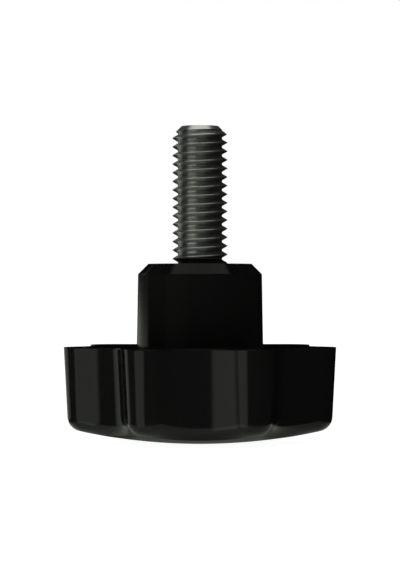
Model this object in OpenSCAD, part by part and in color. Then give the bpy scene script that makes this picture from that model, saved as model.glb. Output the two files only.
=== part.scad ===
// Adjusting screw: a moulded lobe knob with a threaded stud moulded into its hub.
// Millimetres. The stud's axis is Z. The origin is the centre of the hub's bearing face,
// with the stud's thread above it and the hub and the head below it.

/* [Head] */
// Diameter over the tips of the lobes, at the back face
head_d = 40; // [32:1:60]
// Height of the head, from its back face to the middle of its crown
head_h = 14; // [11:0.5:22]
// Number of lobes
lobes = 7; // [5:1:9]
// Radius of a lobe's tip, seen along the axis
lobe_tip_r = 3.5; // [3:0.1:5]
// Depth of the flutes between the lobes, below the circle over the tips
flute_depth = 4; // [3:0.1:5.5]
// Draft of the lobed wall, in degrees: the head narrows from its back face to its crown
wall_draft = 3; // [0.5:0.5:5]
// Radius of the domed crown
crown_r = 82; // [50:1:200]
// Fillet between the wall and the crown
crown_fillet_r = 2.2; // [0.5:0.1:2.5]
// Small radius on the rim, between the wall and the back face
rim_fillet_r = 0.1; // [0.05:0.05:0.5]

/* [Hub] */
// Diameter of the hub, at the foot of its chamfer
hub_d = 18; // [17:0.5:24]
// Height of the hub, from the head's back face to the bearing face
hub_h = 12; // [8:0.5:20]
// Chamfer round the bearing face
hub_chamfer = 1.5; // [0.5:0.1:2]
// Draft of the hub, in degrees: it widens towards the head
hub_draft = 1; // [0:0.5:3]

/* [Stud] */
// Nominal diameter of the thread
thread_d = 8; // [6:0.5:10]
// Pitch of the thread
thread_pitch = 1.25; // [0.75:0.05:1.5]
// Length of the thread above the bearing face
thread_l = 20; // [10:1:60]
// Chamfer on the stud's tip
tip_chamfer = 1.3; // [0.5:0.1:1.6]
// Depth of the shank that is moulded into the hub
embedded_l = 10; // [8:0.5:12]
// How far below the bearing face the seat has closed in from the crests to the shank
crest_entry = 0.4; // [0.2:0.1:1]
// Width across the flats of the stud's hexagonal head, which keys it in the moulding
hex_af = 13; // [11:0.5:13.5]
// Height of the stud's hexagonal head
hex_h = 5.3; // [4:0.1:6.5]

/* [Hidden] */

// Steps across one lobe's tip, one flute, the two fillets and the crown of the loft
TIP_STEPS = 12;
FLUTE_STEPS = 8;
CROWN_FILLET_STEPS = 6;
RIM_FILLET_STEPS = 2;
CROWN_STEPS = 6;
ROUND_FN = 96;

// Where the parts lie along the axis
back_z = -hub_h;
crown_z = back_z - head_h;
crown_centre_z = crown_z + crown_r;

// Plan of the head: a tip arc for each lobe, and between them a flute arc that is tangent to both
half_pitch = 180 / lobes;
head_r = head_d / 2;
valley_r = head_r - flute_depth;
tip_centre_r = head_r - lobe_tip_r;
flute_r = (pow(tip_centre_r, 2) + pow(valley_r, 2) - pow(lobe_tip_r, 2)
        - 2 * tip_centre_r * valley_r * cos(half_pitch))
    / (2 * (lobe_tip_r - valley_r + tip_centre_r * cos(half_pitch)));
flute_centre_r = valley_r + flute_r;
flute_half_angle = atan2(tip_centre_r * sin(half_pitch),
                         flute_centre_r - tip_centre_r * cos(half_pitch));
tip_half_angle = half_pitch + flute_half_angle;

// The crown's fillet stays under the tip's own radius, which the draft has already narrowed
MAX_FILLET_SHARE = 0.85;
edge_r = min(crown_fillet_r, MAX_FILLET_SHARE * (lobe_tip_r - head_h * tan(wall_draft)));

// Hub
hub_r = hub_d / 2;
hub_face_r = hub_r - hub_chamfer;
// The hub's cone runs on a little way into the head, so that the two are one moulding
hub_root = 2;
hub_root_r = hub_r + (hub_h - hub_chamfer + hub_root) * tan(hub_draft);

// Stud: the shank in the moulding has the thread's pitch diameter, where plastic fills the thread
PITCH_DIAMETER_DROP = 0.6495;
thread_r = thread_d / 2;
shank_r = (thread_d - PITCH_DIAMETER_DROP * thread_pitch) / 2;
hex_top_z = -embedded_l;
hex_r = hex_af / 2 / cos(30);
hex_chamfer = (hex_r - hex_af / 2) / 2;

// A flute faces -Y, and one lobe's tip lies on +Y
function flute_azimuth(lobe) = -90 + 2 * half_pitch * lobe;
function unit(azimuth) = [cos(azimuth), sin(azimuth)];

// The plan as a list of [point, outward normal], anticlockwise
function flute_station(lobe, step) =
    let (turn = flute_half_angle * (2 * step / FLUTE_STEPS - 1),
         azimuth = flute_azimuth(lobe),
         normal = unit(azimuth - turn))
    [flute_centre_r * unit(azimuth) - flute_r * unit(azimuth - turn), normal];
function tip_station(lobe, step) =
    let (turn = tip_half_angle * (2 * step / TIP_STEPS - 1),
         azimuth = flute_azimuth(lobe) + half_pitch,
         normal = unit(azimuth + turn))
    [tip_centre_r * unit(azimuth) + lobe_tip_r * normal, normal];
plan = [for (lobe = [0 : lobes - 1])
            each concat([for (step = [0 : FLUTE_STEPS - 1]) flute_station(lobe, step)],
                        [for (step = [0 : TIP_STEPS - 1]) tip_station(lobe, step)])];

// Height of the crown over a point of the plan
function crown_at(point) = crown_centre_z - sqrt(pow(crown_r, 2) - pow(norm(point), 2));
// The wall at a height: each point of the plan has moved inwards along its normal
function wall_inset(z) = (back_z - z) * tan(wall_draft);
function wall_point(station, z) = station[0] - wall_inset(z) * station[1];
// Where a station's wall would meet the crown if there were no fillet
function corner_z(station, z, tries = 4) =
    tries == 0 ? z : corner_z(station, crown_at(wall_point(station, z)), tries - 1);
// How steeply the crown climbs outwards along a station's normal, in degrees
function crown_slope(point, normal) =
    atan2(point * normal, sqrt(pow(crown_r, 2) - pow(norm(point), 2)));

// A point of the crown's fillet, from the wall (part = 0) to the crown (part = 1)
function crown_fillet_point(station, part) =
    let (meet_z = corner_z(station, crown_z),
         meet = wall_point(station, meet_z),
         slope = crown_slope(meet, station[1]),
         corner = 90 + wall_draft + slope,
         reach = edge_r / tan(corner / 2),
         centre_out = reach * sin(wall_draft) - edge_r * cos(wall_draft),
         centre_z = meet_z + reach * cos(wall_draft) + edge_r * sin(wall_draft),
         turn = -wall_draft - part * (90 - slope - wall_draft),
         place = meet + (centre_out + edge_r * cos(turn)) * station[1])
    [place[0], place[1], centre_z + edge_r * sin(turn)];

// A point of the rim's fillet, from the back face (part = 0) to the wall (part = 1)
function rim_fillet_point(station, part) =
    let (turn = 90 - part * (90 + wall_draft),
         centre_in = rim_fillet_r * (1 + sin(wall_draft)) / cos(wall_draft),
         place = station[0] + (rim_fillet_r * cos(turn) - centre_in) * station[1])
    [place[0], place[1], back_z - rim_fillet_r + rim_fillet_r * sin(turn)];

// A point of the crown, from the fillet's foot (part = 0) towards the axis (part = 1)
function crown_point(station, part) =
    let (place = (1 - part) * crown_fillet_point(station, 1),
         spot = [place[0], place[1]])
    [place[0], place[1], crown_at(spot)];
// A point round the small flat in the middle of the crown, which the screw stands on
function flat_point(station) =
    let (place = crown_fillet_point(station, 1) / CROWN_STEPS)
    [place[0], place[1], crown_z];

module head_loft() {
    rings = concat(
        [for (step = [0 : RIM_FILLET_STEPS])
            [for (station = plan) rim_fillet_point(station, step / RIM_FILLET_STEPS)]],
        [for (step = [0 : CROWN_FILLET_STEPS])
            [for (station = plan) crown_fillet_point(station, step / CROWN_FILLET_STEPS)]],
        [for (step = [1 : CROWN_STEPS - 2])
            [for (station = plan) crown_point(station, step / CROWN_STEPS)]],
        [[for (station = plan) flat_point(station)]]);
    around = len(plan);
    last = len(rings) - 1;
    walls = [for (ring = [0 : last - 1], i = [0 : around - 1])
        let (j = (i + 1) % around,
             a = ring * around + i,
             b = ring * around + j)
        each [[a, b, b + around], [a, b + around, a + around]]];
    polyhedron(points = [for (ring = rings) each ring],
               faces = concat([[for (i = [around - 1 : -1 : 0]) i]], walls,
                              [[for (i = [0 : around - 1]) last * around + i]]),
               convexity = 4);
}

module hub_body() {
    rotate_extrude($fn = ROUND_FN)
        polygon([[0, 0],
                 [hub_face_r, 0],
                 [hub_r, -hub_chamfer],
                 [hub_root_r, back_z - hub_root],
                 [0, back_z - hub_root]]);
}

// The part of the stud that is inside the moulding, which is also the seat that the moulding has
module stud_root() {
    rotate_extrude($fn = ROUND_FN)
        polygon([[0, 0],
                 [thread_r, 0],
                 [shank_r, -crest_entry],
                 [shank_r, hex_top_z],
                 [0, hex_top_z]]);
    hex_head();
}

// A hexagonal head with its corners chamfered at the end
module hex_head() {
    intersection() {
        translate([0, 0, hex_top_z - hex_h])
            cylinder(r = hex_r, h = hex_h, $fn = 6);
        rotate_extrude($fn = ROUND_FN)
            polygon([[0, hex_top_z],
                     [hex_r + hex_chamfer, hex_top_z],
                     [hex_r + hex_chamfer, hex_top_z - hex_h + hex_chamfer * 2],
                     [hex_r - hex_chamfer, hex_top_z - hex_h],
                     [0, hex_top_z - hex_h]]);
    }
}

// The moulded grip: the lobed head and the hub are one piece, moulded round the stud
module grip() {
    color([0.02, 0.02, 0.02])
    difference() {
        union() {
            head_loft();
            hub_body();
        }
        stud_root();
    }
}

// The steel stud; its thread is drawn at the crest diameter
module stud() {
    color([0.22, 0.23, 0.23])
    union() {
        stud_root();
        rotate_extrude($fn = ROUND_FN)
            polygon([[0, 0],
                     [thread_r, 0],
                     [thread_r, thread_l - tip_chamfer],
                     [thread_r - tip_chamfer, thread_l],
                     [0, thread_l]]);
    }
}

grip();
stud();
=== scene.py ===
"""Adjusting screw: a glossy black lobe knob, moulded round a steel stud with a rolled thread.

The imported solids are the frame. Two dressed pieces stand for them: the grip, whose lobes repeat
round the axis, and the stud, whose thread follows a helix. Everything is in metres, with the
stud's axis on Z and the hub's bearing face at Z = 0.
"""

from collections import namedtuple
import math

import bmesh
import bpy
from bpy.props import (FloatProperty, FloatVectorProperty, IntProperty, PointerProperty)
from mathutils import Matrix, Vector


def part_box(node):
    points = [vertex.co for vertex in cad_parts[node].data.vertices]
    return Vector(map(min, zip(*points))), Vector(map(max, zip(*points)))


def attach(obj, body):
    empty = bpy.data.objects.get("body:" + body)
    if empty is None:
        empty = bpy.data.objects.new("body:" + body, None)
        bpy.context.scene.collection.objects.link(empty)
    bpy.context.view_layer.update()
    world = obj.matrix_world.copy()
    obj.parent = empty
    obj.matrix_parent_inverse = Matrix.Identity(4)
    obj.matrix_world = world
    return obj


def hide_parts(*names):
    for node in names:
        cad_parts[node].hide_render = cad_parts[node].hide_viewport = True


bl_info = {
    "name": "Adjusting Screw",
    "version": (1, 0, 0),
    "blender": (4, 5, 0),
    "location": "3D View > Sidebar > Adjusting Screw",
    "description": "Builds a lobe knob with a threaded stud, its finishes and a plain studio",
    "category": "Add Mesh",
}

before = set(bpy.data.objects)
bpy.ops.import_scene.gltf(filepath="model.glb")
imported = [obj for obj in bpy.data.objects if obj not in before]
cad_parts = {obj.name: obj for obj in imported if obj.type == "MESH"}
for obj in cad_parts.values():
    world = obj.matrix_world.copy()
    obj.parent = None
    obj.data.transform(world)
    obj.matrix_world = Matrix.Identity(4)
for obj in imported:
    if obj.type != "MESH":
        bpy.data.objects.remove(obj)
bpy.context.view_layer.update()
CROWN_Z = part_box("grip")[0].z
STUD_TOP_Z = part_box("stud")[1].z

MM = 0.001
BODY = "root"


# ---------------------------------------------------------------- sizes and colours

def length(name, description, default_mm):
    """A length property, given in millimetres and kept in metres."""
    return FloatProperty(name=name, description=description, default=default_mm * MM,
                         min=0.0, subtype="DISTANCE", unit="LENGTH", precision=5)


def angle(name, description, default_deg):
    """An angle property, given in degrees and kept in radians."""
    return FloatProperty(name=name, description=description, default=math.radians(default_deg),
                         subtype="ANGLE", unit="ROTATION")


def colour(name, description, default):
    """A linear colour property."""
    return FloatVectorProperty(name=name, description=description, default=default, size=3,
                               min=0.0, max=1.0, subtype="COLOR")


def share(name, description, default):
    """A share from 0 to 1."""
    return FloatProperty(name=name, description=description, default=default, min=0.0, max=1.0,
                         subtype="FACTOR")


def strength(name, description, default):
    """A strength of light."""
    return FloatProperty(name=name, description=description, default=default, min=0.0)


class GripSizes(bpy.types.PropertyGroup):
    """Sizes of the moulded grip."""
    lobes: IntProperty(name="Lobes", description="Number of lobes", default=7, min=5, max=9)
    head_d: length("Head diameter", "Diameter over the lobes' tips, at the back face", 40)
    tip_r: length("Tip radius", "Radius of a lobe's tip, seen along the axis", 3.5)
    flute_depth: length("Flute depth", "Depth of the flutes between the lobes", 4)
    wall_draft: angle("Wall draft", "Draft of the lobed wall", 3)
    crown_r: length("Crown radius", "Radius of the domed crown", 82)
    crown_fillet_r: length("Crown fillet", "Fillet between the wall and the crown", 2.2)
    rim_fillet_r: length("Rim fillet", "Radius between the wall and the back face", 0.1)
    hub_d: length("Hub diameter", "Diameter of the hub at the foot of its chamfer", 18)
    hub_h: length("Hub height", "Height of the hub over the back face", 12)
    hub_chamfer: length("Hub chamfer", "Chamfer round the bearing face", 1.5)
    hub_draft: angle("Hub draft", "Draft of the hub", 1)
    hub_edge_r: length("Hub edge radius", "Radius on the two edges of the hub's chamfer", 0.06)
    hub_foot_r: length("Hub foot radius", "Fillet where the hub meets the back face", 0.02)


class StudSizes(bpy.types.PropertyGroup):
    """Sizes of the threaded stud."""
    thread_d: length("Thread diameter", "Diameter over the thread's crests", 8)
    pitch: length("Pitch", "Pitch of the thread", 1.25)
    root_d: length("Root diameter", "Diameter at the bottom of the thread's grooves", 6.42)
    crest_w: length("Crest width", "Width of the flat along a crest", 0.07)
    rounding: length("Rounding", "How far the crests and the roots are rounded", 0.09)
    crest_z: length("Crest height", "Height of a crest over the bearing face, on the +X side",
                    0.119)
    tip_chamfer: length("Tip chamfer", "Chamfer on the stud's tip", 1.3)
    hex_af: length("Hexagon", "Width over the flats of the moulded-in head", 13)
    hex_h: length("Hexagon height", "Height of the moulded-in head", 5.3)
    embedded: length("Embedded length", "Length of thread inside the moulding", 10)


class Finishes(bpy.types.PropertyGroup):
    """Colours and gloss of the two finishes."""
    plastic: colour("Plastic", "Colour of the moulded grip", (0.0041, 0.0041, 0.0040))
    plastic_roughness: share("Plastic roughness", "Roughness of the polished moulding", 0.08)
    plastic_gloss: share("Plastic gloss", "Strength of the moulding's reflections", 0.2)
    steel: colour("Steel", "Colour of the thread's grooves", (0.540, 0.545, 0.530))
    crest_highlight: colour("Crest highlight", "Colour on the crests, brighter as a painted highlight", (0.900, 0.905, 0.890))
    steel_roughness: share("Steel roughness", "Roughness of the rolled thread", 0.28)
    tip: colour("Tip", "Colour of the turned chamfer on the stud's tip, brighter as a painted highlight", (0.96, 0.92, 0.96))
    tip_from: length("Tip from", "Height over the bearing face where the painted highlight on the tip starts",
                     19.3)
    dark_foot_top: length("Dark foot", "Height up to which the thread takes the plastic's colour and is not metallic",
                     0.80)


class StageSettings(bpy.types.PropertyGroup):
    """The plain studio."""
    camera_distance: length("Camera distance", "From the stud's axis to the camera", 335.7)
    camera_z: FloatProperty(name="Camera height", description="Height over the bearing face",
                            default=-3.08 * MM, subtype="DISTANCE", unit="LENGTH", precision=5)
    lens_mm: FloatProperty(name="Lens", description="Focal length", default=145.8, unit="CAMERA")
    floor_colour: colour("Floor", "Colour of the floor", (0.8, 0.8, 0.8))
    floor_glow: strength("Floor glow", "Own light of the floor, as the camera sees it", 0.96)
    light_side: FloatVectorProperty(name="Light side", default=(-0.64, -0.77, 0.0), size=3,
                                    description="Side that most of the soft light comes from",
                                    subtype="XYZ")
    light_low: strength("Light, far side", "Soft light from the side opposite", 0.0)
    light_high: strength("Light, near side", "Soft light from the light side", 0.3)
    bounce_low: strength("Bounce, far side", "Light off the floor on the side opposite", 0.0)
    bounce_high: strength("Bounce, near side", "Light off the floor on the light side", 2.3)
    pool_inner_r: length("Light pool inside", "Inner radius of the pool of light", 13)
    pool_outer_r: length("Light pool outside", "Outer radius of the pool of light", 26.5)
    pool_soft: length("Light pool edge", "Width of the pool's soft edges", 5)
    pool_level: strength("Light pool level", "Brightness of the pool of light", 0.53)
    pool_middle: share("Light pool middle", "Share of the pool's light in its middle", 0.18)


# ---------------------------------------------------------------- node trees

class Nodes:
    """Adds nodes to a node tree, with their settings, inputs and links."""

    def __init__(self, tree):
        self.tree = tree

    def feed(self, socket, value):
        """Links a socket to another one, or gives it a value."""
        if isinstance(value, bpy.types.NodeSocket):
            self.tree.links.new(value, socket)
        else:
            socket.default_value = value

    def node(self, kind, inputs=None, **settings):
        """Adds a node. A list feeds a socket that takes several links."""
        made = self.tree.nodes.new(kind)
        for key, value in settings.items():
            setattr(made, key, value)
        for key, value in (inputs or {}).items():
            for one in (value if isinstance(value, list) else [value]):
                self.feed(made.inputs[key], one)
        return made

    def math(self, operation, *values):
        """The result of a Math node."""
        made = self.node("ShaderNodeMath", dict(enumerate(values)), operation=operation)
        return made.outputs[0]

    def vector_math(self, operation, *values):
        """The outputs of a Vector Math node."""
        made = self.node("ShaderNodeVectorMath", dict(enumerate(values)), operation=operation)
        return made.outputs

    def parts(self, vector):
        """The X, Y and Z outputs for a vector."""
        return self.node("ShaderNodeSeparateXYZ", {0: vector}).outputs

    def height(self, z):
        """A vector that points up by z."""
        return self.node("ShaderNodeCombineXYZ", {"Z": z}).outputs[0]

    def map_range(self, value, low, high, to_low=0.0, to_high=1.0, curve="SMOOTHSTEP"):
        """A value between low and high, as one between to_low and to_high."""
        made = self.node("ShaderNodeMapRange",
                         {"Value": value, "From Min": low, "From Max": high,
                          "To Min": to_low, "To Max": to_high}, interpolation_type=curve)
        return made.outputs[0]

    def blend(self, factor, first, second):
        """A blend of two colours."""
        made = self.node("ShaderNodeMix", {"Factor": factor, "A": first, "B": second},
                         data_type="RGBA")
        return made.outputs["Result"]

    def place(self, name, build, inputs):
        """Places a shader group, which build fills the first time, and returns its outputs."""
        if name not in bpy.data.node_groups:
            build(Group(name, "ShaderNodeTree"))
        made = self.node("ShaderNodeGroup", inputs, node_tree=bpy.data.node_groups[name])
        return made.outputs


class Group(Nodes):
    """A new node group, with named inputs and outputs."""

    def __init__(self, name, kind):
        super().__init__(bpy.data.node_groups.new(name, kind))
        self.enter = self.tree.nodes.new("NodeGroupInput")
        self.leave = self.tree.nodes.new("NodeGroupOutput")
        self.sockets = {}

    def input(self, name, socket_type="NodeSocketFloat"):
        item = self.tree.interface.new_socket(name, in_out="INPUT", socket_type=socket_type)
        self.sockets[name] = item.identifier
        return self.enter.outputs[name]

    def output(self, name, source, socket_type="NodeSocketFloat"):
        self.tree.interface.new_socket(name, in_out="OUTPUT", socket_type=socket_type)
        self.tree.links.new(source, self.leave.inputs[name])


def run_group(obj, group, values):
    """Evaluates a geometry group on obj, and returns the result as a plain mesh."""
    modifier = obj.modifiers.new(group.tree.name, "NODES")
    modifier.node_group = group.tree
    for name, value in values.items():
        modifier[group.sockets[name]] = value
    graph = bpy.context.evaluated_depsgraph_get()
    mesh = bpy.data.meshes.new_from_object(obj.evaluated_get(graph))
    obj.modifiers.remove(modifier)
    return mesh


def mesh_from(work, name):
    """Turns a bmesh into a new mesh."""
    mesh = bpy.data.meshes.new(name)
    work.to_mesh(mesh)
    work.free()
    return mesh


def finish_piece(name, mesh, replaced):
    """Links a plain mesh as a finished piece, at the origin, standing for one node."""
    work = bmesh.new()
    work.from_mesh(mesh)
    bmesh.ops.recalc_face_normals(work, faces=work.faces)
    work.to_mesh(mesh)
    work.free()
    mesh.name = name
    piece = bpy.data.objects.new(name, mesh)
    bpy.context.scene.collection.objects.link(piece)
    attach(piece, BODY)
    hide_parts(replaced)
    return piece


def scratch_object(name, mesh=None):
    """An object that a geometry group runs on."""
    obj = bpy.data.objects.new(name, mesh or bpy.data.meshes.new(name))
    bpy.context.scene.collection.objects.link(obj)
    return obj


def drop_object(obj):
    mesh = obj.data
    bpy.data.objects.remove(obj)
    bpy.data.meshes.remove(mesh)


# ---------------------------------------------------------------- threaded stud

# Points nearer than this are one point
MERGE = 0.0004 * MM
# Edges that fold by less than this are shaded smooth
SMOOTH_UNDER = math.radians(32)
THREAD_STEPS_ROUND = 80
THREAD_STEPS_PITCH = 22
CUTTER_STEPS = 144
FLANK_ANGLE = math.radians(30)
HEX_HALF_ANGLE = math.radians(30)
# Turns of thread run on past both ends, and are cut off there
SPARE_TURNS = 1.5


def shade_and_paint(group, geometry, material):
    """Ends a geometry group: smooth shading up to an angle, real geometry, one material."""
    fold = group.node("GeometryNodeInputMeshEdgeAngle").outputs["Unsigned Angle"]
    soft_edge = group.node("FunctionNodeCompare", {0: fold, 1: SMOOTH_UNDER},
                           data_type="FLOAT", operation="LESS_THAN").outputs[0]
    faces = group.node("GeometryNodeSetShadeSmooth", {"Geometry": geometry}, domain="FACE")
    edges = group.node("GeometryNodeSetShadeSmooth",
                       {"Geometry": faces.outputs[0], "Shade Smooth": soft_edge}, domain="EDGE")
    real = group.node("GeometryNodeRealizeInstances", {"Geometry": edges.outputs[0]})
    painted = group.node("GeometryNodeSetMaterial",
                         {"Geometry": real.outputs[0], "Material": material})
    group.output("Geometry", painted.outputs[0], "NodeSocketGeometry")


def stud_group():
    """Geometry nodes: a helical thread, cut to a chamfered tip, on a hexagonal head."""
    g = Group("Threaded stud", "GeometryNodeTree")
    crest_r = g.input("Crest Radius")
    root_r = g.input("Root Radius")
    pitch = g.input("Pitch")
    crest_half = g.input("Crest Half Width")
    rounding = g.input("Rounding")
    start = g.input("Thread Start")
    turns = g.input("Turns")
    rows = g.input("Steps Along Helix", "NodeSocketInt")
    tip_z = g.input("Tip Height")
    tip_r = g.input("Tip Radius")
    hex_r = g.input("Hexagon Radius")
    hex_h = g.input("Hexagon Height")
    hex_z = g.input("Hexagon Bottom")
    hex_chamfer = g.input("Hexagon Chamfer")
    material = g.input("Material", "NodeSocketMaterial")

    # One strip, a pitch wide, wound round the axis: X runs along the helix, Y across the strip
    strip = g.node("GeometryNodeMeshGrid", {"Size X": 1.0, "Size Y": 1.0, "Vertices X": rows,
                                            "Vertices Y": THREAD_STEPS_PITCH + 1})
    place = g.parts(g.node("GeometryNodeInputPosition").outputs[0])
    wound = g.math("MULTIPLY", g.math("ADD", place["X"], 0.5), turns)
    across = g.math("ADD", place["Y"], 0.5)
    from_crest = g.math("MULTIPLY", g.math("ABSOLUTE", place["Y"]), pitch)
    drop = g.math("DIVIDE", g.math("SUBTRACT", from_crest, crest_half), math.tan(FLANK_ANGLE))
    flank = g.math("SUBTRACT", crest_r, drop)
    crested = g.math("SMOOTH_MIN", flank, crest_r, rounding)
    rooted = g.math("SMOOTH_MAX", crested, root_r, rounding)
    turn = g.math("MULTIPLY", wound, math.tau)
    spot = g.node("ShaderNodeCombineXYZ", {
        "X": g.math("MULTIPLY", rooted, g.math("COSINE", turn)),
        "Y": g.math("MULTIPLY", rooted, g.math("SINE", turn)),
        "Z": g.math("MULTIPLY_ADD", g.math("ADD", wound, across), pitch, start)})
    moved = g.node("GeometryNodeSetPosition",
                   {"Geometry": strip.outputs["Mesh"], "Position": spot.outputs[0]})
    welded = g.node("GeometryNodeMergeByDistance",
                    {"Geometry": moved.outputs[0], "Distance": MERGE})

    # The strip's open ends are drawn in to the axis, so that the thread is a closed solid
    open_edge = g.node("FunctionNodeCompare",
                       {2: g.node("GeometryNodeInputMeshEdgeNeighbors").outputs[0], 3: 1},
                       data_type="INT", operation="EQUAL").outputs[0]
    drawn = g.node("GeometryNodeExtrudeMesh",
                   {"Mesh": welded.outputs[0], "Selection": open_edge, "Offset Scale": 0.0},
                   mode="EDGES")
    low_z = g.math("ADD", start, g.math("MULTIPLY", pitch, 0.5))
    high_z = g.math("MULTIPLY_ADD", turns, pitch, low_z)
    middle = g.math("MULTIPLY", g.math("ADD", low_z, high_z), 0.5)
    here = g.parts(g.node("GeometryNodeInputPosition").outputs[0])
    is_high = g.math("GREATER_THAN", here["Z"], middle)
    end_z = g.math("MULTIPLY_ADD", is_high, g.math("SUBTRACT", high_z, low_z), low_z)
    capped = g.node("GeometryNodeSetPosition",
                    {"Geometry": drawn.outputs["Mesh"], "Selection": drawn.outputs["Top"],
                     "Position": g.height(end_z)})
    solid = g.node("GeometryNodeMergeByDistance",
                   {"Geometry": capped.outputs[0], "Distance": MERGE})

    # A 45 degree cone, flat at the tip, cuts the thread's end
    reach = g.math("SUBTRACT", tip_z, hex_z)
    cone = g.node("GeometryNodeMeshCone",
                  {"Vertices": CUTTER_STEPS, "Radius Top": tip_r,
                   "Radius Bottom": g.math("ADD", tip_r, reach), "Depth": reach})
    cutter = g.node("GeometryNodeTransform",
                    {"Geometry": cone.outputs["Mesh"], "Translation": g.height(hex_z)})
    rod = g.node("GeometryNodeMeshBoolean", {"Mesh 2": [solid.outputs[0], cutter.outputs[0]]},
                 operation="INTERSECT", solver="MANIFOLD")

    # The hexagonal head, with a 45 degree chamfer round its end
    prism = g.node("GeometryNodeMeshCylinder", {"Vertices": 6, "Radius": hex_r, "Depth": hex_h})
    prism_z = g.math("MULTIPLY_ADD", hex_h, 0.5, hex_z)
    lifted = g.node("GeometryNodeTransform",
                    {"Geometry": prism.outputs["Mesh"], "Translation": g.height(prism_z)})
    bevel_r = g.math("SUBTRACT", hex_r, hex_chamfer)
    bevel = g.node("GeometryNodeMeshCone",
                   {"Vertices": CUTTER_STEPS, "Radius Top": g.math("ADD", bevel_r, hex_h),
                    "Radius Bottom": bevel_r, "Depth": hex_h})
    bevel_at = g.node("GeometryNodeTransform",
                      {"Geometry": bevel.outputs["Mesh"], "Translation": g.height(hex_z)})
    head = g.node("GeometryNodeMeshBoolean", {"Mesh 2": [lifted.outputs[0], bevel_at.outputs[0]]},
                  operation="INTERSECT", solver="MANIFOLD")
    whole = g.node("GeometryNodeMeshBoolean", {"Mesh 2": [rod.outputs[0], head.outputs[0]]},
                   operation="UNION", solver="MANIFOLD")
    shade_and_paint(g, whole.outputs[0], material)
    return g


class ADJUSTINGSCREW_OT_stud(bpy.types.Operator):
    """Build the steel stud, with its rolled thread, chamfered tip and moulded-in head"""
    bl_idname = "adjusting_screw.build_stud"
    bl_label = "Build Stud"

    def execute(self, context):
        s = context.scene.adjusting_stud
        hex_z = -s.embedded - s.hex_h
        # The strip starts inside the hexagonal head, at a height that puts a crest at crest_z
        below = math.floor((s.crest_z - s.pitch / 2 - (hex_z + s.hex_h / 2)) / s.pitch)
        start = s.crest_z - s.pitch / 2 - below * s.pitch
        turns = math.ceil((STUD_TOP_Z - start) / s.pitch + SPARE_TURNS)
        hex_r = s.hex_af / 2 / math.cos(HEX_HALF_ANGLE)
        source = scratch_object("stud_source")
        mesh = run_group(source, stud_group(), {
            "Crest Radius": s.thread_d / 2,
            "Root Radius": s.root_d / 2,
            "Pitch": s.pitch,
            "Crest Half Width": s.crest_w / 2,
            "Rounding": s.rounding,
            "Thread Start": start,
            "Turns": float(turns),
            "Steps Along Helix": turns * THREAD_STEPS_ROUND + 1,
            "Tip Height": STUD_TOP_Z,
            "Tip Radius": s.thread_d / 2 - s.tip_chamfer,
            "Hexagon Radius": hex_r,
            "Hexagon Height": s.hex_h,
            "Hexagon Bottom": hex_z,
            "Hexagon Chamfer": (hex_r - s.hex_af / 2) / 2,
            "Material": steel_material(context.scene.adjusting_finishes, s.thread_d / 2)})
        drop_object(source)
        finish_piece("threaded_stud", mesh, "stud")
        return {"FINISHED"}


# ---------------------------------------------------------------- moulded grip

TIP_STEPS = 36
FLUTE_STEPS = 28
WALL_STEPS = 6
CROWN_FILLET_STEPS = 14
CROWN_STEPS = 12
SMALL_EDGE_STEPS = 4
# Rings across the hub's face, as shares of its radius
FACE_RINGS = (0.3, 0.6)
# Rings along the hub's wall and across the head's back face, as shares of the way
QUARTERS = (0.25, 0.5, 0.75)
# Rounds of search for the height where the wall would meet the crown
MEET_TRIES = 5
# Rings this far from a small edge keep the flat faces beside it flat in the shading
GUARD = 0.06 * MM


def unit(azimuth):
    return Vector((math.cos(azimuth), math.sin(azimuth)))


def lobe_plan(s):
    """One lobe's share of the head's outline, from one flute's start to the next.

    A list of (point, outward normal). A flute faces -Y, and its arc is tangent to the tips'.
    """
    half = math.pi / s.lobes
    head_r = s.head_d / 2
    valley_r = head_r - s.flute_depth
    tip_centre = head_r - s.tip_r
    flute_r = ((tip_centre ** 2 + valley_r ** 2 - s.tip_r ** 2
                - 2 * tip_centre * valley_r * math.cos(half))
               / (2 * (s.tip_r - valley_r + tip_centre * math.cos(half))))
    flute_centre = valley_r + flute_r
    flute_turn = math.atan2(tip_centre * math.sin(half),
                            flute_centre - tip_centre * math.cos(half))
    tip_turn = half + flute_turn
    facing = -math.pi / 2
    stations = []
    for step in range(FLUTE_STEPS):
        turn = flute_turn * (2 * step / FLUTE_STEPS - 1)
        normal = unit(facing - turn)
        stations.append((flute_centre * unit(facing) - flute_r * normal, normal))
    for step in range(TIP_STEPS + 1):
        turn = tip_turn * (2 * step / TIP_STEPS - 1)
        normal = unit(facing + half + turn)
        stations.append((tip_centre * unit(facing + half) + s.tip_r * normal, normal))
    return stations


def rounded_corner(before, corner, after, radius):
    """Points that round one corner of a profile, with a guard point on each side."""
    into = (corner - before).normalized()
    out = (after - corner).normalized()
    turn = into.angle_signed(out)
    reach = radius * math.tan(abs(turn) / 2)
    start = corner - into * reach
    side = Vector((-into.y, into.x)) * (-1 if turn > 0 else 1)
    centre = start + side * radius
    points = [start - into * GUARD]
    for step in range(SMALL_EDGE_STEPS + 1):
        swing = -turn * step / SMALL_EDGE_STEPS
        arm = start - centre
        points.append(centre + Vector((arm.x * math.cos(swing) - arm.y * math.sin(swing),
                                       arm.x * math.sin(swing) + arm.y * math.cos(swing))))
    points.append(corner + out * (reach + GUARD))
    return points


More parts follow.
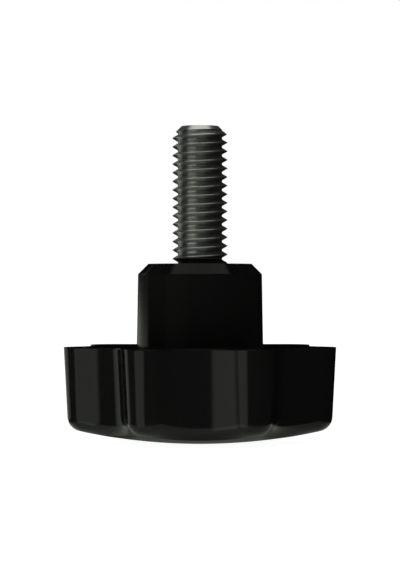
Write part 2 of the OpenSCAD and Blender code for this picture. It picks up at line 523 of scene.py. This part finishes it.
def hub_profile(s):
    """The hub's section as (radius, height), from the axis to its foot on the back face."""
    hub_r = s.hub_d / 2
    face_r = hub_r - s.hub_chamfer
    foot_r = hub_r + (s.hub_h - s.hub_chamfer) * math.tan(s.hub_draft)
    axis = Vector((0, 0))
    face = Vector((face_r, 0))
    shoulder = Vector((hub_r, -s.hub_chamfer))
    foot = Vector((foot_r, -s.hub_h))
    outside = Vector((s.head_d / 2, -s.hub_h))
    profile = [axis] + [face * ring for ring in FACE_RINGS]
    profile += rounded_corner(axis, face, shoulder, s.hub_edge_r)
    profile += rounded_corner(face, shoulder, foot, s.hub_edge_r)
    profile += [shoulder.lerp(foot, way) for way in QUARTERS]
    profile += rounded_corner(shoulder, foot, outside, s.hub_foot_r)
    return profile


def head_section(s, point, normal, foot):
    """One station's section of the head, from the hub's foot to the middle of the crown."""
    back_z = -s.hub_h
    crown_centre = CROWN_Z + s.crown_r
    slope_in = math.tan(s.wall_draft)

    def crown_at(place):
        return crown_centre - math.sqrt(s.crown_r ** 2 - place.length_squared)

    def at(out, z):
        place = point + normal * out
        return Vector((place.x, place.y, z))

    rim = s.rim_fillet_r
    rim_in = rim * (1 + math.sin(s.wall_draft)) / math.cos(s.wall_draft)
    meet_z = CROWN_Z
    for _ in range(MEET_TRIES):
        meet_z = crown_at(point - normal * (back_z - meet_z) * slope_in)
    meet = point - normal * (back_z - meet_z) * slope_in
    slope = math.atan2(meet.dot(normal), crown_centre - meet_z)
    fillet = s.crown_fillet_r
    reach = fillet / math.tan((math.pi / 2 + s.wall_draft + slope) / 2)
    out_0 = -(back_z - meet_z) * slope_in
    fillet_out = out_0 + reach * math.sin(s.wall_draft) - fillet * math.cos(s.wall_draft)
    fillet_z = meet_z + reach * math.cos(s.wall_draft) + fillet * math.sin(s.wall_draft)

    inner = Vector((foot.x, foot.y))
    edge = point - normal * rim_in
    section = []
    for way in QUARTERS:
        place = inner.lerp(edge, way)
        section.append(Vector((place.x, place.y, back_z)))
    section.append(at(-rim_in - GUARD, back_z))
    for step in range(SMALL_EDGE_STEPS + 1):
        turn = math.pi / 2 - (math.pi / 2 + s.wall_draft) * step / SMALL_EDGE_STEPS
        section.append(at(rim * math.cos(turn) - rim_in, back_z - rim + rim * math.sin(turn)))
    wall_top = section[-1].z - GUARD
    wall_end = fillet_z - fillet * math.sin(s.wall_draft) + GUARD
    for step in range(WALL_STEPS + 1):
        z = wall_top + (wall_end - wall_top) * step / WALL_STEPS
        section.append(at(-(back_z - z) * slope_in, z))
    for step in range(CROWN_FILLET_STEPS + 1):
        turn = -s.wall_draft - (math.pi / 2 - slope - s.wall_draft) * step / CROWN_FILLET_STEPS
        section.append(at(fillet_out + fillet * math.cos(turn),
                          fillet_z + fillet * math.sin(turn)))
    last = Vector((section[-1].x, section[-1].y))
    rings = [1 - GUARD / last.length]
    rings += [1 - step / CROWN_STEPS for step in range(1, CROWN_STEPS + 1)]
    for ring in rings:
        place = last * ring
        section.append(Vector((place.x, place.y, crown_at(place))))
    return section


def lobe_mesh(s):
    """The skin of one lobe's share of the grip, from the bearing face to the crown's middle."""
    hub = hub_profile(s)
    work = bmesh.new()
    columns = []
    for point, normal in lobe_plan(s):
        outward = point.normalized()
        column = [Vector((outward.x * r, outward.y * r, z)) for r, z in hub]
        column += head_section(s, point, normal, column[-1])
        columns.append([work.verts.new(place) for place in column])
    for left, right in zip(columns, columns[1:]):
        for a, b, c, d in zip(left, right, right[1:], left[1:]):
            work.faces.new((a, d, c, b))
    return mesh_from(work, "lobe_source")


def grip_group():
    """Geometry nodes: one lobe's skin repeats round the axis, and the stud is cut out of it."""
    g = Group("Lobed grip", "GeometryNodeTree")
    lobe = g.input("Lobe", "NodeSocketGeometry")
    count = g.input("Lobes", "NodeSocketInt")
    stud = g.input("Stud", "NodeSocketObject")
    material = g.input("Material", "NodeSocketMaterial")
    on_axis = g.node("GeometryNodePoints", {"Count": count})
    turn = g.math("MULTIPLY", g.node("GeometryNodeInputIndex").outputs[0],
                  g.math("DIVIDE", math.tau, count))
    spun = g.node("GeometryNodeInstanceOnPoints",
                  {"Points": on_axis.outputs[0], "Instance": lobe, "Rotation": g.height(turn)})
    real = g.node("GeometryNodeRealizeInstances", {"Geometry": spun.outputs[0]})
    skin = g.node("GeometryNodeMergeByDistance", {"Geometry": real.outputs[0], "Distance": MERGE})
    insert = g.node("GeometryNodeObjectInfo", {"Object": stud})
    seated = g.node("GeometryNodeMeshBoolean",
                    {"Mesh 1": skin.outputs[0], "Mesh 2": insert.outputs["Geometry"]},
                    operation="DIFFERENCE", solver="MANIFOLD")
    shade_and_paint(g, seated.outputs[0], material)
    return g


class ADJUSTINGSCREW_OT_grip(bpy.types.Operator):
    """Build the moulded grip: its lobed, drafted and domed head, and its hub round the stud"""
    bl_idname = "adjusting_screw.build_grip"
    bl_label = "Build Grip"

    def execute(self, context):
        s = context.scene.adjusting_grip
        source = scratch_object("grip_source", lobe_mesh(s))
        mesh = run_group(source, grip_group(), {
            "Lobes": s.lobes,
            "Stud": bpy.data.objects["threaded_stud"],
            "Material": plastic_material(context.scene.adjusting_finishes)})
        drop_object(source)
        finish_piece("lobed_grip", mesh, "grip")
        return {"FINISHED"}


# ---------------------------------------------------------------- finishes

# Clouds to a metre, and how far they move a finish's roughness and tone, as a share
PLASTIC_CLOUDS = 90.0
PLASTIC_ROUGHNESS_SPREAD = 0.15
PLASTIC_TONE_SPREAD = 0.1
STEEL_CLOUDS = 700.0
STEEL_ROUGHNESS_SPREAD = 0.02
CLOUD_DETAIL = 4.0
CLOUD_GRAIN = 0.6
CLOUD_LOW = 0.3
CLOUD_HIGH = 0.7
# How far below the crests their painted highlight starts, and how far below them it is full
CREST_HIGHLIGHT_FROM = 0.28 * MM
CREST_HIGHLIGHT_FULL = 0.02 * MM
# Width over which the dark foot and the painted highlight on the tip set in
TONE_EDGE = 0.1 * MM
WHITE = (1, 1, 1, 1)
BLACK = (0, 0, 0, 1)


def rgba(colour, factor=1.0):
    """A colour for a socket, made lighter or darker by a factor."""
    return (*(part * factor for part in colour), 1)


def fine_unevenness(g):
    """Fills a shader group: faint clouds in gloss and tone, from the piece's own coordinates."""
    scale = g.input("Scale")
    rough_low = g.input("Roughness Low")
    rough_high = g.input("Roughness High")
    place = g.node("ShaderNodeTexCoord").outputs["Object"]
    cloud = g.node("ShaderNodeTexNoise", {"Vector": place, "Scale": scale,
                                          "Detail": CLOUD_DETAIL, "Roughness": CLOUD_GRAIN})
    cloud = cloud.outputs[0]
    g.output("Roughness", g.map_range(cloud, CLOUD_LOW, CLOUD_HIGH, rough_low, rough_high,
                                      curve="LINEAR"))
    g.output("Cloud", cloud)


def thread_masks(g):
    """Fills a shader group: masks for the painted highlights on the thread's crests and its tip,
    and for its dark foot.
    """
    groove_r = g.input("Groove Radius")
    crest_r = g.input("Crest Radius")
    dark_foot_top = g.input("Dark Foot Top")
    tip_from = g.input("Tip From")
    edge = g.input("Edge")
    place = g.parts(g.node("ShaderNodeTexCoord").outputs["Object"])
    radius = g.math("SQRT", g.math("ADD", g.math("MULTIPLY", place["X"], place["X"]),
                                   g.math("MULTIPLY", place["Y"], place["Y"])))
    g.output("Crest", g.map_range(radius, groove_r, crest_r))
    g.output("Tip", g.map_range(place["Z"], tip_from, g.math("ADD", tip_from, edge)))
    g.output("Skin", g.map_range(place["Z"], g.math("SUBTRACT", dark_foot_top, edge),
                                 g.math("ADD", dark_foot_top, edge), 1.0, 0.0))


def new_material(name):
    """An empty material, and the nodes to fill it with."""
    material = bpy.data.materials.new(name)
    material.use_nodes = True
    material.node_tree.nodes.clear()
    return material, Nodes(material.node_tree)


def uneven(nodes, clouds, rough, spread):
    """Places the clouds in a material, with a roughness that they spread both ways."""
    return nodes.place("Fine unevenness", fine_unevenness,
                       {"Scale": clouds, "Roughness Low": rough * (1 - spread),
                        "Roughness High": rough * (1 + spread)})


def plastic_material(finish):
    """Polished black moulding."""
    material, nodes = new_material("Polished black plastic")
    clouds = uneven(nodes, PLASTIC_CLOUDS, finish.plastic_roughness, PLASTIC_ROUGHNESS_SPREAD)
    tone = nodes.blend(clouds["Cloud"], rgba(finish.plastic, 1 - PLASTIC_TONE_SPREAD),
                       rgba(finish.plastic, 1 + PLASTIC_TONE_SPREAD))
    shader = nodes.node("ShaderNodeBsdfPrincipled",
                        {"Base Color": tone, "Roughness": clouds["Roughness"],
                         "Specular IOR Level": finish.plastic_gloss})
    nodes.node("ShaderNodeOutputMaterial", {"Surface": shader.outputs[0]})
    return material


def steel_material(finish, crest_r):
    """Dark steel thread: its crests and tip carry painted highlights, and its foot takes the
    plastic's colour and is not metallic.
    """
    material, nodes = new_material("Dark rolled steel")
    clouds = uneven(nodes, STEEL_CLOUDS, finish.steel_roughness, STEEL_ROUGHNESS_SPREAD)
    masks = nodes.place("Thread masks", thread_masks,
                        {"Groove Radius": crest_r - CREST_HIGHLIGHT_FROM,
                         "Crest Radius": crest_r - CREST_HIGHLIGHT_FULL,
                         "Dark Foot Top": finish.dark_foot_top, "Tip From": finish.tip_from,
                         "Edge": TONE_EDGE})
    # The crests get a brighter colour than the steel: a painted highlight
    crest_highlit_steel = nodes.blend(masks["Crest"], rgba(finish.steel), rgba(finish.crest_highlight))
    # The tip gets a brighter colour still: a painted highlight
    tip_highlit_steel = nodes.blend(masks["Tip"], crest_highlit_steel, rgba(finish.tip))
    # Up to the foot's top height the thread takes the plastic's colour and is not metallic
    tone = nodes.blend(masks["Skin"], tip_highlit_steel, rgba(finish.plastic))
    shader = nodes.node("ShaderNodeBsdfPrincipled",
                        {"Base Color": tone, "Roughness": clouds["Roughness"],
                         "Metallic": nodes.math("SUBTRACT", 1.0, masks["Skin"]),
                         "Specular IOR Level": finish.plastic_gloss})
    nodes.node("ShaderNodeOutputMaterial", {"Surface": shader.outputs[0]})
    return material


# ---------------------------------------------------------------- studio

FLOOR_R = 3.0
FLOOR_STEPS = 96
FLOOR_ROUGHNESS = 0.9
SHELL_R = 0.9
# Degrees between the shell's points
SHELL_STEP = 1
SENSOR_MM = 36
CLIP_START = 0.01
CLIP_END = 20
PANEL_LAYER = "panel_light"
# Colour of all the light that only shiny surfaces see
PANEL_TINT = (0.93, 1.0, 0.88)

# A soft panel of the studio, as shiny surfaces see it. Angles are in degrees: azimuth 0 is
# towards the camera and negative to its left, and low and high are above the horizon.
Panel = namedtuple("Panel", "name azimuth half_width side_soft low low_soft high high_soft level")
PANELS = (
    Panel("left front, low", -44.5, 22.5, 11, -38, 8, -2.5, 2, 1.03),
    Panel("left front fringe", -46, 20, 8, -8, 4, 10, 6, 0.04),
    Panel("left back, low", -134, 24, 8, -12, 8, -0.35, 2.4, 0.5),
    Panel("left back fringe", -156, 14, 12, -12, 8, -2, 3, 0.12),
    Panel("left side, upper", -136, 12, 12, 8, 8, 27, 6, 1.2),
    Panel("left side glow", -108, 20, 24, 10, 8, 46, 8, 0.12),
    Panel("left side, lower", -140, 12, 14, -42, 8, -20, 8, 0.25),
    Panel("left glow", -126, 14, 6, -5, 4, 8, 4, 0.04),
    Panel("upper front", -52, 24, 20, 14, 10, 62, 10, 0.21),
    Panel("upper front shoulder", 2, 26, 30, 12, 10, 62, 10, 0.32),
    Panel("upper front spill", 8, 46, 60, 14, 10, 60, 10, 0.08),
    Panel("lower front", -35, 40, 30, -56, 8, -24, 8, 0.15),
    Panel("overhead", 0, 360, 2, 62, 6, 95, 2, 0.55),
)


def soft_edge(place, soft, value):
    """Goes from 0 to 1 as value passes place, over a width of soft, with smooth ends."""
    way = min(max((value - place) / soft + 0.5, 0.0), 1.0)
    return way * way * (3 - 2 * way)


def panel_light(azimuth, elevation):
    """Brightness of the studio in one direction, in degrees: that of the brightest panel."""
    light = 0.0
    for panel in PANELS:
        aside = abs((azimuth - panel.azimuth + 180) % 360 - 180)
        lit = 1 - soft_edge(panel.half_width, panel.side_soft, aside)
        lit *= soft_edge(panel.low, panel.low_soft, elevation)
        lit *= 1 - soft_edge(panel.high, panel.high_soft, elevation)
        light = max(light, panel.level * lit)
    return light


def add_stage_object(name, mesh, material):
    obj = bpy.data.objects.new(name, mesh)
    bpy.context.scene.collection.objects.link(obj)
    mesh.materials.append(material)
    return obj


def only_in_reflections(obj):
    """Shows a stage object in shiny surfaces alone: not in view, nor as light or shadow."""
    obj.visible_camera = False
    obj.visible_diffuse = False
    obj.visible_shadow = False
    obj.visible_transmission = False
    obj.visible_volume_scatter = False


def shell_mesh():
    """A sphere of small faces, with the panels' brightness on its points."""
    work = bmesh.new()
    layer = work.verts.layers.float.new(PANEL_LAYER)
    rows = []
    for elevation in range(-90, 91, SHELL_STEP):
        rows.append([])
        for azimuth in range(-180, 180, SHELL_STEP):
            up = math.radians(elevation)
            turn = math.radians(azimuth)
            place = Vector((math.cos(up) * math.sin(turn), -math.cos(up) * math.cos(turn),
                            math.sin(up)))
            vert = work.verts.new(place * SHELL_R)
            vert[layer] = panel_light(azimuth, elevation)
            rows[-1].append(vert)
    for low, high in zip(rows, rows[1:]):
        for i in range(len(low)):
            j = (i + 1) % len(low)
            work.faces.new((low[i], low[j], high[j], high[i]))
    return mesh_from(work, "studio_shell")


def shell_material():
    """The shell's own light, from the brightness on its points."""
    material, nodes = new_material("Studio shell")
    light = nodes.node("ShaderNodeAttribute", attribute_name=PANEL_LAYER).outputs["Fac"]
    glow = nodes.node("ShaderNodeEmission", {"Color": rgba(PANEL_TINT), "Strength": light})
    nodes.node("ShaderNodeOutputMaterial", {"Surface": glow.outputs[0]})
    return material


def light_pool(g):
    """Fills a shader group: the painted pool of light round the object, brightest under its edge
    and dimmer in its middle as a painted shadow.
    """
    place = g.input("Position", "NodeSocketVector")
    inner = g.input("Inner Radius")
    outer = g.input("Outer Radius")
    soft = g.input("Soft Edge")
    middle = g.input("Middle")
    level = g.input("Level")
    flat = g.vector_math("MULTIPLY", place, (1, 1, 0))[0]
    radius = g.vector_math("LENGTH", flat)["Value"]
    rise = g.map_range(radius, inner, g.math("ADD", inner, soft), middle, 1.0)
    fall = g.map_range(radius, g.math("SUBTRACT", outer, soft), outer, level, 0.0)
    g.output("Light", g.math("MULTIPLY", rise, fall))


def side_light(g):
    """Fills a shader group: soft light that grows towards one side of the object."""
    direction = g.input("Direction", "NodeSocketVector")
    side = g.input("Side", "NodeSocketVector")
    low = g.input("Low")
    high = g.input("High")
    level = g.vector_math("MULTIPLY", direction, (1, 1, 0))[0]
    flat = g.vector_math("NORMALIZE", level)[0]
    toward = g.vector_math("DOT_PRODUCT", flat, side)["Value"]
    g.output("Light", g.map_range(toward, -1.0, 1.0, low, high, curve="LINEAR"))


def floor_material(s):
    """Pale floor: white to the camera, with the object's shadow, and a painted pool of light near
    it to shiny rays.
    """
    material, nodes = new_material("Pale floor")
    rays = nodes.node("ShaderNodeLightPath").outputs
    place = nodes.node("ShaderNodeTexCoord").outputs["Object"]
    base = nodes.blend(rays["Is Diffuse Ray"], rgba(s.floor_colour), BLACK)
    in_view = nodes.math("ADD", rays["Is Camera Ray"], rays["Is Transmission Ray"])
    bounce = nodes.place("Side light", side_light,
                         {"Direction": place, "Side": s.light_side, "Low": s.bounce_low,
                          "High": s.bounce_high})["Light"]
    own_light = nodes.math("MULTIPLY_ADD", rays["Is Diffuse Ray"], bounce,
                           nodes.math("MULTIPLY", in_view, s.floor_glow))
    floor = nodes.node("ShaderNodeBsdfPrincipled",
                       {"Base Color": base, "Roughness": FLOOR_ROUGHNESS,
                        "Specular IOR Level": 0.0, "Emission Color": own_light,
                        "Emission Strength": 1.0})

    # To shiny rays the floor is clear, but for a painted pool of light near the object, dimmer in
    # its middle as a painted shadow under it
    pool = nodes.place("Light pool", light_pool,
                       {"Position": place, "Inner Radius": s.pool_inner_r,
                        "Outer Radius": s.pool_outer_r, "Soft Edge": s.pool_soft,
                        "Middle": s.pool_middle, "Level": s.pool_level})["Light"]
    tinted = nodes.node("ShaderNodeVectorMath", {0: PANEL_TINT, "Scale": pool},
                        operation="SCALE")
    glow = nodes.node("ShaderNodeEmission", {"Color": tinted.outputs[0]})
    clear = nodes.node("ShaderNodeBsdfTransparent")
    mirrored = nodes.node("ShaderNodeAddShader", {0: glow.outputs[0], 1: clear.outputs[0]})
    shown = nodes.node("ShaderNodeMixShader", {0: rays["Is Glossy Ray"], 1: floor.outputs[0],
                                               2: mirrored.outputs[0]})
    nodes.node("ShaderNodeOutputMaterial", {"Surface": shown.outputs[0]})
    return material


def studio_world(s):
    """White surroundings, which light the object softly and more from one side."""
    world = bpy.data.worlds.new("White surroundings")
    world.use_nodes = True
    nodes = Nodes(world.node_tree)
    rays = nodes.node("ShaderNodeLightPath").outputs
    direction = nodes.node("ShaderNodeTexCoord").outputs["Generated"]
    soft = nodes.place("Side light", side_light,
                       {"Direction": direction, "Side": s.light_side, "Low": s.light_low,
                        "High": s.light_high})["Light"]
    light = nodes.blend(rays["Is Diffuse Ray"], WHITE, soft)
    nodes.feed(world.node_tree.nodes["Background"].inputs["Color"], light)
    return world


def disc_mesh(name, radius, z):
    """A flat disc at a height."""
    work = bmesh.new()
    turns = [math.tau * step / FLOOR_STEPS for step in range(FLOOR_STEPS)]
    work.faces.new([work.verts.new((radius * math.cos(turn), radius * math.sin(turn), z))
                    for turn in turns])
    return mesh_from(work, name)


class ADJUSTINGSCREW_OT_stage(bpy.types.Operator):
    """Set up the plain floor, the soft surroundings and the camera"""
    bl_idname = "adjusting_screw.build_stage"
    bl_label = "Build Stage"

    def execute(self, context):
        scene = context.scene
        s = scene.adjusting_stage
        add_stage_object("floor", disc_mesh("floor", FLOOR_R, CROWN_Z), floor_material(s))
        shell = add_stage_object("studio_shell", shell_mesh(), shell_material())
        only_in_reflections(shell)
        scene.world = studio_world(s)

        camera = bpy.data.objects.new("camera", bpy.data.cameras.new("camera"))
        scene.collection.objects.link(camera)
        camera.location = (0, -s.camera_distance, s.camera_z)
        camera.rotation_euler = (math.pi / 2, 0, 0)
        camera.data.lens = s.lens_mm
        camera.data.sensor_width = SENSOR_MM
        camera.data.clip_start = CLIP_START
        camera.data.clip_end = CLIP_END
        scene.camera = camera
        scene.view_settings.view_transform = "Standard"
        return {"FINISHED"}


# ---------------------------------------------------------------- panel and registration

class ADJUSTINGSCREW_PT_panel(bpy.types.Panel):
    """Lists the pieces of the adjusting screw and its stage"""
    bl_label = "Adjusting Screw"
    bl_idname = "ADJUSTINGSCREW_PT_panel"
    bl_space_type = "VIEW_3D"
    bl_region_type = "UI"
    bl_category = "Adjusting Screw"

    def draw(self, context):
        for owner in ("adjusting_stud", "adjusting_grip", "adjusting_finishes",
                      "adjusting_stage"):
            box = self.layout.box()
            group = getattr(context.scene, owner)
            for key in group.__annotations__:
                box.prop(group, key)
        for operator in BUILD_ORDER:
            self.layout.operator(operator.bl_idname)


BUILD_ORDER = (ADJUSTINGSCREW_OT_stage, ADJUSTINGSCREW_OT_stud, ADJUSTINGSCREW_OT_grip)
SETTINGS = {"adjusting_grip": GripSizes, "adjusting_stud": StudSizes,
            "adjusting_finishes": Finishes, "adjusting_stage": StageSettings}
CLASSES = (*SETTINGS.values(), *BUILD_ORDER, ADJUSTINGSCREW_PT_panel)


def register():
    for cls in CLASSES:
        bpy.utils.register_class(cls)
    for name, cls in SETTINGS.items():
        setattr(bpy.types.Scene, name, PointerProperty(type=cls))


def unregister():
    for name in SETTINGS:
        delattr(bpy.types.Scene, name)
    for cls in reversed(CLASSES):
        bpy.utils.unregister_class(cls)


def main():
    register()
    bpy.ops.adjusting_screw.build_stage()
    bpy.ops.adjusting_screw.build_stud()
    bpy.ops.adjusting_screw.build_grip()


if __name__ == "__main__":
    main()
